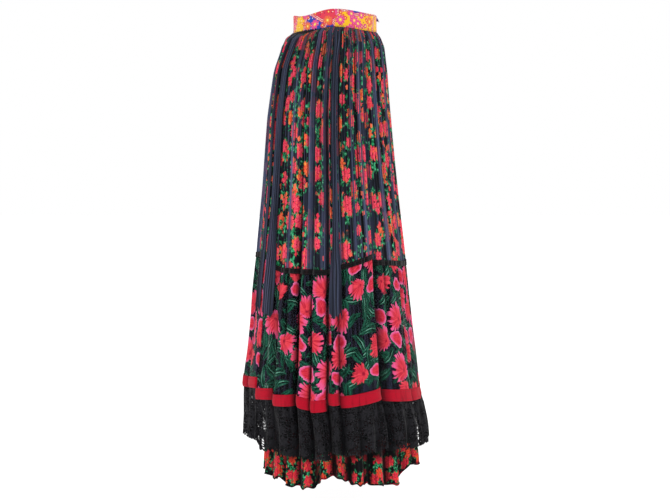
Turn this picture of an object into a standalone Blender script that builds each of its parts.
"""Tiered maxi skirt, held open as it is worn: waistband, gathered upper tier, velvet-trimmed
seam, lower tier, hem ribbon, lace ruffle, and the underskirt whose hem shows below the lace.

Metres, +Z up. The origin is the centre of the waist opening at half the waistband's height.
The front of the skirt faces -Y, the back +Y, and the wearer's left side +X.
"""

import math

import bmesh
import bpy
from mathutils import Vector

# Driving sizes
BAND_HEIGHT = 0.038
BAND_HALF_DEPTH = 0.0925
BAND_HALF_WIDTH = 0.1220
BAND_WALL = 0.0020
BAND_COLUMNS = 60
BAND_DIP_FRONT = 0.010
BAND_DIP_BACK = 0.004
CLOTH_WALL = 0.0012
TRIM_WALL = 0.0011
SEAM_GAP = 0.0003
TIER_TOP = -BAND_HEIGHT / 2 - SEAM_GAP
VELVET_SEAM = -0.5170
VELVET_WIDTH = 0.011
HEM_SEAM = -0.8000
HEM_RIBBON_WIDTH = 0.025
LACE_HEM = -0.9180
UNDERSKIRT_TOP = -0.008
UNDERSKIRT_HEM = -0.9920

# How far a corner is sharpened at most where a wall is moved out, and the angle from which
# an edge is shown sharp
CORNER_SHARE = 0.62
SHARP_ANGLE = 50

# The outer skirt, one row for each height. Depth runs front to back, width side to side, and
# centre is how far back the section's middle lies. Folds are the large hanging folds, pleats
# the fine gathers of the upper tier and waves those of the lace, all from crest to trough.
# Rise is how much higher the front hangs than the middle, and the back lower, dip how much
# lower the sides hang, and band, seam and hem the shares that show at that height of the
# waistband's dips and of each fold's own drop at the velvet seam and at the hem ribbon.
OUTER_COLUMNS = (
    "height", "depth", "width", "centre", "folds", "pleats", "waves", "rise", "dip",
    "band", "seam", "hem",
)
OUTER = (
    (TIER_TOP, 0.0950, 0.1245, 0.0000, 0.0000, 0.0034, 0.0, 0.0000, 0.0000, 1.0, 0.0, 0.0),
    (-0.0300, 0.1060, 0.1360, -0.0035, 0.0004, 0.0048, 0.0, 0.0000, 0.0000, 0.8, 0.0, 0.0),
    (-0.0500, 0.1150, 0.1460, -0.0045, 0.0014, 0.0058, 0.0, 0.0005, 0.0005, 0.5, 0.0, 0.0),
    (-0.1050, 0.1275, 0.1630, -0.0100, 0.0040, 0.0066, 0.0, 0.0010, 0.0010, 0.1, 0.0, 0.0),
    (-0.2100, 0.1395, 0.1810, -0.0130, 0.0080, 0.0066, 0.0, 0.0020, 0.0030, 0.0, 0.15, 0.0),
    (-0.3650, 0.1530, 0.1990, -0.0110, 0.0115, 0.0056, 0.0, 0.0030, 0.0060, 0.0, 0.5, 0.0),
    (VELVET_SEAM, 0.1690, 0.2160, -0.0090, 0.0145, 0.0020, 0.0, 0.0040, 0.0100, 0.0, 1.0, 0.0),
    (-0.5900, 0.1770, 0.2245, -0.0095, 0.0165, 0.0, 0.0, 0.0040, 0.0100, 0.0, 0.6, 0.35),
    (-0.6600, 0.1835, 0.2330, -0.0080, 0.0185, 0.0, 0.0, 0.0045, 0.0095, 0.0, 0.35, 0.6),
    (-0.7300, 0.1915, 0.2420, -0.0070, 0.0200, 0.0, 0.0, 0.0050, 0.0085, 0.0, 0.1, 0.85),
    (HEM_SEAM, 0.1995, 0.2510, -0.0080, 0.0210, 0.0, 0.0, 0.0055, 0.0080, 0.0, 0.0, 1.0),
    (-0.8135, 0.2015, 0.2530, -0.0060, 0.0205, 0.0, 0.0010, 0.0060, 0.0075, 0.0, 0.0, 1.0),
    (-0.8350, 0.2050, 0.2570, -0.0030, 0.0185, 0.0, 0.0060, 0.0050, 0.0060, 0.0, 0.0, 0.95),
    (-0.8780, 0.2090, 0.2630, 0.0010, 0.0155, 0.0, 0.0120, 0.0030, 0.0020, 0.0, 0.0, 0.85),
    (LACE_HEM, 0.2120, 0.2670, 0.0020, 0.0135, 0.0, 0.0165, 0.0010, 0.0000, 0.0, 0.0, 0.8),
)
UPPER_RINGS = (TIER_TOP, -0.030, -0.050, -0.105, -0.210, -0.365, VELVET_SEAM)
LOWER_RINGS = (VELVET_SEAM - SEAM_GAP, -0.590, -0.660, -0.730, HEM_SEAM)
LACE_RINGS = (HEM_SEAM - SEAM_GAP, -0.8135, -0.835, -0.878, LACE_HEM)

# The sheets have a column of points every 360 / COLUMNS degrees, counted from the wearer's
# left side towards the back. Each row is the trough that a large fold starts at, how deep it
# is, where the fold falls away steeply, and how far it hangs below the plain line of the
# velvet seam and of the hem ribbon, at its start and at its end.
COLUMNS = 132
HALF = COLUMNS // 2
CENTRE_BACK = COLUMNS // 4
FOLD_COLUMNS = ("trough", "deep", "falls", "seam_start", "seam_end", "hem_start", "hem_end")
FOLDS = (
    (-1, 0.80, "neither", 0.0130, 0.0040, -0.0070, -0.0075),
    (2, 0.60, "both", 0.0030, -0.0200, -0.0010, -0.0155),
    (13, 1.00, "end", -0.0045, 0.0035, -0.0080, 0.0035),
    (22, 0.60, "end", 0.0040, 0.0090, 0.0055, 0.0110),
    (29, 0.50, "start", 0.0090, 0.0030, 0.0080, 0.0010),
    (36, 0.50, "both", 0.0030, -0.0060, 0.0000, -0.0050),
    (42, 0.85, "start", -0.0050, -0.0080, 0.0060, -0.0020),
    (49, 0.60, "neither", -0.0080, -0.0030, -0.0020, 0.0030),
    (54, 1.00, "end", -0.0030, 0.0080, -0.0070, 0.0010),
    (61, 0.50, "both", 0.0080, 0.0110, 0.0050, 0.0090),
    (66, 1.00, "end", 0.0110, 0.0020, 0.0040, -0.0040),
    (70, 0.45, "neither", 0.0020, 0.0000, -0.0050, -0.0030),
    (76, 0.95, "start", 0.0000, -0.0120, 0.0040, -0.0080),
    (86, 0.60, "both", -0.0030, 0.0060, -0.0080, 0.0020),
    (93, 0.85, "end", 0.0060, 0.0000, 0.0070, 0.0000),
    (99, 0.55, "neither", 0.0000, -0.0035, 0.0020, -0.0020),
    (104, 0.70, "end", -0.0035, -0.0050, -0.0050, -0.0175),
    (112, 0.90, "start", 0.0030, 0.0168, 0.0075, -0.0010),
    (117, 0.50, "both", 0.0170, 0.0150, 0.0100, 0.0025),
    (123, 1.00, "neither", 0.0147, 0.0138, 0.0000, 0.0075),
    (127, 0.50, "both", 0.0138, 0.0132, 0.0105, 0.0055),
)
# How steeply a fold rises from its trough, how square a fold is that falls at both ends, and
# how far a fold's top leans towards the end where it falls
FOLD_RISE = 3
FOLD_SQUARE = 4
FOLD_LEAN = {"start": -0.35, "end": 0.35, "both": 0.0, "neither": 0.0}

# Each gather of the upper tier is this share of the full depth at least, and they vary by
# the rest with this many radians from one column to the next.
PLEAT_LEAST = 0.6
PLEAT_STEP = 2.3

# The lace ruffle: columns in a wave, how far its hem dips at a wave, and the sines that make
# the waves uneven, each as size, times round and start.
WAVE_COLUMNS = 4
LACE_DIP = 0.004
LACE_UNEVEN = ((0.7, 5, 0.0), (0.5, 11, 1.0))

# The lace's largest gaps, as shares of the cell that each one lies in
GAP_LEFT, GAP_RIGHT = 0.28, 0.70
GAP_TOP, GAP_BOTTOM = 0.36, 0.58
GAP_EVERY = 6

# The underskirt, inside all of it
UNDER_COLUMNS = ("height", "depth", "width", "centre", "waves")
UNDER_TOP_DEPTH = BAND_HALF_DEPTH - BAND_WALL - SEAM_GAP
UNDER_TOP_WIDTH = BAND_HALF_WIDTH - BAND_WALL - SEAM_GAP
UNDER = (
    (UNDERSKIRT_TOP, UNDER_TOP_DEPTH, UNDER_TOP_WIDTH, 0.0000, 0.0),
    (-0.0320, UNDER_TOP_DEPTH, UNDER_TOP_WIDTH, 0.0000, 0.0),
    (-0.1050, 0.1100, 0.1430, -0.0070, 0.0005),
    (-0.3650, 0.1300, 0.1720, -0.0060, 0.0030),
    (-0.6600, 0.1480, 0.1960, 0.0020, 0.0080),
    (-0.8400, 0.1620, 0.2090, 0.0100, 0.0140),
    (UNDERSKIRT_HEM, 0.1750, 0.2200, 0.0150, 0.0200),
)
UNDER_WAVES = 25
UNDER_PER_WAVE = 4
UNDER_UNEVEN = ((0.6, 4, 0.5), (0.4, 9, 0.0))
# How far its hem hangs below the plain line, by its column
HEM_DROP_COLUMNS = ("column", "drop")
HEM_DROPS = (
    (0, -0.018), (2, -0.006), (5, -0.004), (9, 0.003), (12, 0.007), (14, 0.003), (16, -0.028),
    (20, -0.020), (24, -0.006), (29, 0.004), (33, 0.008), (37, -0.004), (41, -0.016),
    (45, -0.008), (49, 0.005), (55, 0.008), (60, -0.006), (64, -0.018), (68, -0.010),
    (72, 0.006), (77, 0.004), (82, 0.008), (85, -0.001), (86, 0.009), (91, 0.008), (94, 0.005),
    (96, -0.017), (98, -0.022),
)

# Navy streamers that hang from the waist over the velvet ribbon: first and last column, and
# the height of the free end. Those of the left side are repeated on the right.
STREAMER_COLUMNS = ("first", "last", "end")
STREAMERS = (
    (0, 3, -0.628),
    (-23, -21, -0.640),
    (-20, -16, -0.634),
)
STREAMER_ON_TIER = 0.0005
STREAMER_STEP = ((-0.495, 0.0014), (-0.506, 0.0032), (-0.528, 0.0032))

# Waistband button: distance out from the band, radius and tilt of each ring
BUTTON_SIDES = 14
BUTTON_HEIGHT = 0.0105
BUTTON_TILT = 30
BUTTON_COLUMNS = ("out", "radius", "tilt")
BUTTON_RINGS = (
    (0.0, 0.0022, 0.0),
    (0.0022, 0.0022, 0.6),
    (0.0026, 0.0056, 1.0),
    (0.0036, 0.0060, 1.0),
    (0.0046, 0.0056, 1.0),
    (0.0052, 0.0040, 1.0),
)

CLOTH_ROUGHNESS = 0.8
BUTTON_ROUGHNESS = 0.35
COLOURS = {
    "band_print": (0.85, 0.35, 0.25),
    "rose_print": (0.10, 0.02, 0.04),
    "bloom_print": (0.25, 0.03, 0.07),
    "black_velvet": (0.006, 0.006, 0.008),
    "red_ribbon": (0.50, 0.01, 0.03),
    "black_lace": (0.012, 0.012, 0.015),
    "navy_ribbon": (0.03, 0.035, 0.07),
    "button": (0.02, 0.02, 0.06),
}


def clear_scene():
    for thing in list(bpy.data.objects):
        bpy.data.objects.remove(thing)


def material(slot):
    made = bpy.data.materials.get(slot)
    if made is None:
        made = bpy.data.materials.new(slot)
        made.use_nodes = True
        shader = made.node_tree.nodes["Principled BSDF"]
        shader.inputs["Base Color"].default_value = (*COLOURS[slot], 1)
        rough = BUTTON_ROUGHNESS if slot == "button" else CLOTH_ROUGHNESS
        shader.inputs["Roughness"].default_value = rough
    return made


def through(before, start, end, after, share):
    """A point on the smooth curve through four numbers, between the middle two."""
    bend = (2 * before - 5 * start + 4 * end - after) * share**2
    swing = (3 * start - before - 3 * end + after) * share**3
    return 0.5 * (2 * start + (end - before) * share + bend + swing)


def row_at(rows, names, height):
    """The table's columns at a height, also between its rows, by name."""
    below = next((i for i, row in enumerate(rows) if row[0] <= height + 1e-9), len(rows) - 1)
    low = max(below, 1)
    near = [rows[min(max(i, 0), len(rows) - 1)] for i in range(low - 2, low + 2)]
    share = (near[1][0] - height) / (near[1][0] - near[2][0])
    share = min(max(share, 0.0), 1.0)
    return {name: through(*(row[i] for row in near), share) for i, name in enumerate(names)}


def on_ellipse(width, depth, centre, angle):
    """(point, outward direction) of a level section at an angle."""
    point = Vector((width * math.cos(angle), centre + depth * math.sin(angle), 0))
    outward = Vector((math.cos(angle) / width, math.sin(angle) / depth, 0)).normalized()
    return point, outward


def band_dip(angle):
    """How far the waistband dips at an angle: most halfway from a side to the front."""
    deepest = BAND_DIP_FRONT if math.sin(angle) < 0 else BAND_DIP_BACK
    return deepest * math.sin(2 * angle) ** 2


def level(direction):
    return Vector((direction.x, direction.y, 0)).normalized()


def moved_out(points, distance):
    """A closed ring moved out level, by one distance from its own line at every corner."""
    moved = []
    count = len(points)
    for i, point in enumerate(points):
        arriving = level(point - points[i - 1])
        leaving = level(points[(i + 1) % count] - point)
        along = (arriving + leaving).normalized()
        outward = Vector((along.y, -along.x, 0))
        share = max(along.dot(leaving), CORNER_SHARE)
        moved.append(point + outward * (distance / share))
    return moved


def uneven(sines, turn):
    return sum(size * math.sin(times * turn + start) for size, times, start in sines)


def fold_height(falls, share):
    """How far out a fold stands, from 0 at its trough to 1, at a share of its width."""
    if falls == "neither":
        return math.sin(math.pi * share)
    if falls == "both":
        return 1 - abs(2 * share - 1) ** FOLD_SQUARE
    run = share if falls == "end" else 1 - share
    return 1 - (1 - run) ** FOLD_RISE if share else 0.0


def fold_at(column):
    """The fold that a column is on, with its height, depth and drops there."""
    behind = [(column - row[0]) % COLUMNS for row in FOLDS]
    number = behind.index(min(behind))
    fold = dict(zip(FOLD_COLUMNS, FOLDS[number]))
    after = dict(zip(FOLD_COLUMNS, FOLDS[(number + 1) % len(FOLDS)]))
    share = behind[number] / ((after["trough"] - fold["trough"]) % COLUMNS)
    fold["deep"] += (after["deep"] - fold["deep"]) * share
    fold["height"] = fold_height(fold["falls"], share)
    fold["seam_hangs"] = fold["seam_start"] + (fold["seam_end"] - fold["seam_start"]) * share
    fold["hem_hangs"] = fold["hem_start"] + (fold["hem_end"] - fold["hem_start"]) * share
    return fold


def wave(column):
    """The ruffle's wave at a column, from -1 to 1, unevenly spaced."""
    turn = 2 * math.pi * column / COLUMNS
    return math.cos(2 * math.pi * column / WAVE_COLUMNS + uneven(LACE_UNEVEN, turn))


def outer_ring(height, pleated=False, waved=False):
    """The outer skirt's line round one height, a point for each column."""
    row = row_at(OUTER, OUTER_COLUMNS, height)
    points = []
    for column in range(COLUMNS):
        fold = fold_at(column)
        depth = row["folds"] * fold["deep"]
        lean = FOLD_LEAN[fold["falls"]] * depth * fold["height"] / row["width"]
        angle = 2 * math.pi * column / COLUMNS + lean
        point, outward = on_ellipse(row["width"], row["depth"], row["centre"], angle)
        inwards = depth * (1 - fold["height"])
        if pleated and column % 2:
            varied = (1 + math.cos(PLEAT_STEP * column)) / 2
            inwards += row["pleats"] * (PLEAT_LEAST + (1 - PLEAT_LEAST) * varied)
        if waved:
            inwards += row["waves"] * (1 - wave(column)) / 2
        point -= outward * inwards
        point.z = height - row["rise"] * math.sin(angle) - row["dip"] * math.cos(angle) ** 2
        point.z -= row["seam"] * fold["seam_hangs"] + row["hem"] * fold["hem_hangs"]
        point.z -= row["band"] * band_dip(angle)
        points.append(point)
    return points


def under_ring(height):
    row = row_at(UNDER, UNDER_COLUMNS, height)
    count = UNDER_WAVES * UNDER_PER_WAVE
    points = []
    for column in range(count):
        turn = 2 * math.pi * column / count
        phase = UNDER_WAVES * turn + uneven(UNDER_UNEVEN, turn)
        inwards = row["waves"] * (1 - math.cos(phase)) / 2
        point, outward = on_ellipse(row["width"], row["depth"], row["centre"], turn)
        point -= outward * inwards
        point.z = height
        points.append(point)
    return points


def hem_drop(column):
    """How far the underskirt's hem hangs at a column, on a smooth line through HEM_DROPS."""
    number = max(i for i, row in enumerate(HEM_DROPS) if row[0] <= column)
    near = [HEM_DROPS[(number + step) % len(HEM_DROPS)] for step in (-1, 0, 1, 2)]
    before, start, end, after = (dict(zip(HEM_DROP_COLUMNS, row)) for row in near)
    width = (end["column"] - start["column"]) % (UNDER_WAVES * UNDER_PER_WAVE)
    share = (column - start["column"]) / width
    return through(before["drop"], start["drop"], end["drop"], after["drop"], share)


def seam_to_seam(ring, first, last):
    """The columns first to last of a ring, held half a seam gap short at both ends."""
    points = [ring[column % len(ring)].copy() for column in range(first, last + 1)]
    points[0] += (points[1] - points[0]).normalized() * SEAM_GAP / 2
    points[-1] += (points[-2] - points[-1]).normalized() * SEAM_GAP / 2
    return points


def wall(name, slot, outside, inside, gaps=()):
    """A closed wall between two grids of points, each row a height from the top down. Each of
    gaps is the row and column of a cell that a gap is cut through."""
    mesh = bmesh.new()
    outer = [[mesh.verts.new(point) for point in row] for row in outside]
    inner = [[mesh.verts.new(point) for point in row] for row in inside]
    rows, columns = len(outer) - 1, len(outer[0]) - 1
    for row in range(rows):
        for column in range(columns):
            corners = ((row, column), (row + 1, column), (row + 1, column + 1), (row, column + 1))
            face = [outer[r][c] for r, c in corners]
            back = [inner[r][c] for r, c in corners]
            if (row, column) in gaps:
                cut_gap(mesh, face, back)
            else:
                mesh.faces.new(face)
                mesh.faces.new((back[0], back[3], back[2], back[1]))
    for column in range(columns):
        after = column + 1
        mesh.faces.new((outer[0][column], outer[0][after], inner[0][after], inner[0][column]))
        mesh.faces.new((outer[-1][column], inner[-1][column], inner[-1][after], outer[-1][after]))
    for row in range(rows):
        below = row + 1
        mesh.faces.new((outer[row][0], inner[row][0], inner[below][0], outer[below][0]))
        mesh.faces.new((inner[row][-1], outer[row][-1], outer[below][-1], inner[below][-1]))
    # Every cell is split the same way, so that layers made from the same points stay apart.
    bmesh.ops.triangulate(mesh, faces=mesh.faces, quad_method="FIXED")
    return finished(name, slot, mesh)


def cut_gap(mesh, face, back):
    """A four-sided gap through one cell of a wall: a rim on each side, and its own walls."""
    shares = (
        (GAP_LEFT, GAP_TOP), (GAP_LEFT, GAP_BOTTOM), (GAP_RIGHT, GAP_BOTTOM), (GAP_RIGHT, GAP_TOP)
    )
    rims = []
    for corners in (face, back):
        top_left, foot_left, foot_right, top_right = (corner.co for corner in corners)
        rim = []
        for across, down in shares:
            left = top_left.lerp(foot_left, down)
            right = top_right.lerp(foot_right, down)
            rim.append(mesh.verts.new(left.lerp(right, across)))
        rims.append(rim)
    for i in range(4):
        after = (i + 1) % 4
        mesh.faces.new((face[i], face[after], rims[0][after], rims[0][i]))
        mesh.faces.new((back[after], back[i], rims[1][i], rims[1][after]))
        mesh.faces.new((rims[0][i], rims[0][after], rims[1][after], rims[1][i]))


def finished(name, slot, mesh):
    data = bpy.data.meshes.new(name)
    mesh.to_mesh(data)
    mesh.free()
    data.materials.append(material(slot))
    data.shade_smooth()
    data.set_sharp_from_angle(angle=math.radians(SHARP_ANGLE))
    thing = bpy.data.objects.new(name, data)
    bpy.context.scene.collection.objects.link(thing)
    return thing


def cloth_panel(name, slot, rings, first, last, gaps=(), dips=None):
    """A panel of cloth between two seams. rings is (height, outer line, inner line) from the
    top down, and dips lowers the last row's points, one number for each column."""
    outside = [seam_to_seam(outer, first, last) for _, outer, _ in rings]
    inside = [seam_to_seam(inner, first, last) for _, _, inner in rings]
    if dips:
        for grid in (outside, inside):
            for point, column in zip(grid[-1], range(first, last + 1)):
                point.z += dips[column % len(dips)]
    return wall(name, slot, outside, inside, gaps)


def tier_rings(heights, pleated=False, waved=False):
    lines = [outer_ring(height, pleated, waved) for height in heights]
    return [(h, line, moved_out(line, -CLOTH_WALL)) for h, line in zip(heights, lines)]


def line_at(rings, height):
    """The line of a built tier at any height, straight between its rings as its faces are."""
    for (top, upper, _), (foot, lower, _) in zip(rings, rings[1:]):
        if top >= height >= foot:
            share = (top - height) / (top - foot)
            return [a.lerp(b, share) for a, b in zip(upper, lower)]
    raise ValueError(f"no cloth at height {height}")


def build_waistband():
    """A front piece and two back pieces, which meet at the centre back under the button."""
    line, inner = [], []
    for column in range(BAND_COLUMNS):
        turn = 2 * math.pi * column / BAND_COLUMNS
        dip = Vector((0, 0, -band_dip(turn)))
        line.append(on_ellipse(BAND_HALF_WIDTH, BAND_HALF_DEPTH, 0, turn)[0] + dip)
        width, depth = BAND_HALF_WIDTH - BAND_WALL, BAND_HALF_DEPTH - BAND_WALL
        inner.append(on_ellipse(width, depth, 0, turn)[0] + dip)
    rings = []
    for height in (BAND_HEIGHT / 2, -BAND_HEIGHT / 2):
        lift = Vector((0, 0, height))
        rings.append((height, [point + lift for point in line], [point + lift for point in inner]))
    half = BAND_COLUMNS // 2
    back = half // 2 + 1
    cloth_panel("waistband_front", "band_print", rings, half, 2 * half)
    cloth_panel("waistband_back_left", "band_print", rings, 0, back)
    cloth_panel("waistband_back_right", "band_print", rings, back, half)


def build_button():
    """Round button on a thread shank, hanging a little from the centre back of the band."""
    face_middle = BAND_COLUMNS // 4 + 0.5
    turn = 2 * math.pi * face_middle / BAND_COLUMNS
    face, out = on_ellipse(BAND_HALF_WIDTH, BAND_HALF_DEPTH, 0, turn)
    aside = Vector((-out.y, out.x, 0))
    centre = face + Vector((0, 0, BUTTON_HEIGHT)) + out * SEAM_GAP
    mesh = bmesh.new()
    rings = []
    travelled = 0.0
    for row in BUTTON_RINGS:
        ring_of = dict(zip(BUTTON_COLUMNS, row))
        angle = math.radians(BUTTON_TILT * ring_of["tilt"])
        facing = out * math.cos(angle) + Vector((0, 0, math.sin(angle)))
        upright = Vector((0, 0, math.cos(angle))) - out * math.sin(angle)
        centre = centre + facing * (ring_of["out"] - travelled)
        travelled = ring_of["out"]
        ring = []
        for side in range(BUTTON_SIDES):
            round_it = 2 * math.pi * side / BUTTON_SIDES
            spoke = aside * math.cos(round_it) + upright * math.sin(round_it)
            ring.append(mesh.verts.new(centre + spoke * ring_of["radius"]))
        rings.append(ring)
    bmesh.ops.contextual_create(mesh, geom=rings[0])
    bmesh.ops.contextual_create(mesh, geom=rings[-1])
    for near, far in zip(rings, rings[1:]):
        for side in range(BUTTON_SIDES):
            after = (side + 1) % BUTTON_SIDES
            mesh.faces.new((near[side], near[after], far[after], far[side]))
    bmesh.ops.recalc_face_normals(mesh, faces=mesh.faces)
    finished("waist_button", "button", mesh)


def build_upper_tier():
    rings = tier_rings(UPPER_RINGS, pleated=True)
    cloth_panel("upper_tier_front", "rose_print", rings, HALF, COLUMNS)
    cloth_panel("upper_tier_back_left", "rose_print", rings, 0, CENTRE_BACK)
    cloth_panel("upper_tier_back_right", "rose_print", rings, CENTRE_BACK, HALF)
    return rings


def build_lower_tier():
    rings = tier_rings(LOWER_RINGS, pleated=True)
    cloth_panel("lower_tier_front", "bloom_print", rings, HALF, COLUMNS)
    cloth_panel("lower_tier_back", "bloom_print", rings, 0, HALF)
    return rings


def build_trim(name, slot, heights, lines):
    """A ribbon on the outside of the cloth, made from the cloth's points, moved out."""
    outside = [moved_out(line, SEAM_GAP + TRIM_WALL) for line in lines]
    inside = [moved_out(line, SEAM_GAP) for line in lines]
    rings = list(zip(heights, outside, inside))
    cloth_panel(name + "_front", slot, rings, HALF, COLUMNS)
    cloth_panel(name + "_back", slot, rings, 0, HALF)


def build_velvet_ribbon(upper, lower):
    top = VELVET_SEAM + VELVET_WIDTH / 2
    foot = VELVET_SEAM - VELVET_WIDTH / 2
    lines = (line_at(upper, top), line_at(lower, foot))
    build_trim("velvet_ribbon", "black_velvet", (top, foot), lines)


def build_hem_ribbon(lower, lace):
    top = HEM_SEAM + HEM_RIBBON_WIDTH / 2
    foot = HEM_SEAM - HEM_RIBBON_WIDTH / 2
    lines = (line_at(lower, top), lower[-1][1], line_at(lace, foot))
    build_trim("hem_ribbon", "red_ribbon", (top, HEM_SEAM, foot), lines)


def build_lace():
    rings = tier_rings(LACE_RINGS, waved=True)
    gaps = set()
    for row in range(1, len(LACE_RINGS) - 1):
        for column in range(HALF):
            if (column + 2 * row) % GAP_EVERY == 0:
                gaps.add((row, column))
    dips = [LACE_DIP * wave(column) for column in range(COLUMNS)]
    cloth_panel("lace_ruffle_front", "black_lace", rings, HALF, COLUMNS, gaps, dips)
    cloth_panel("lace_ruffle_back", "black_lace", rings, 0, HALF, gaps, dips)
    return rings


def build_underskirt():
    heights = [row[0] for row in UNDER]
    lines = [under_ring(height) for height in heights]
    rings = [(h, line, moved_out(line, -CLOTH_WALL)) for h, line in zip(heights, lines)]
    count = UNDER_WAVES * UNDER_PER_WAVE
    dips = [-hem_drop(column) for column in range(count)]
    cloth_panel("underskirt_front", "rose_print", rings, count // 2, count, dips=dips)
    cloth_panel("underskirt_back", "rose_print", rings, 0, count // 2, dips=dips)


def build_streamers(upper, lower):
    """Navy strips from the waist seam, over the tier and the velvet, to a free end."""
    for number, row in enumerate(STREAMERS, start=1):
        streamer = dict(zip(STREAMER_COLUMNS, row))
        lifts = {height: STREAMER_ON_TIER for height in UPPER_RINGS if height > VELVET_SEAM}
        lifts.update(STREAMER_STEP)
        lifts.update({LOWER_RINGS[1]: STREAMER_ON_TIER, streamer["end"]: STREAMER_ON_TIER})
        rings = []
        for height, lift in lifts.items():
            line = line_at(upper if height > VELVET_SEAM else lower, height)
            outside = moved_out(line, lift + TRIM_WALL)
            rings.append((height, outside, moved_out(line, lift)))
        first, last = streamer["first"], streamer["last"]
        cloth_panel(f"streamer_left_{number}", "navy_ribbon", rings, first, last)
        cloth_panel(f"streamer_right_{number}", "navy_ribbon", rings, HALF + first, HALF + last)


def build_skirt():
    clear_scene()
    build_waistband()
    build_button()
    upper = build_upper_tier()
    lower = build_lower_tier()
    lace = build_lace()
    build_velvet_ribbon(upper, lower)
    build_hem_ribbon(lower, lace)
    build_underskirt()
    build_streamers(upper, lower)


build_skirt()
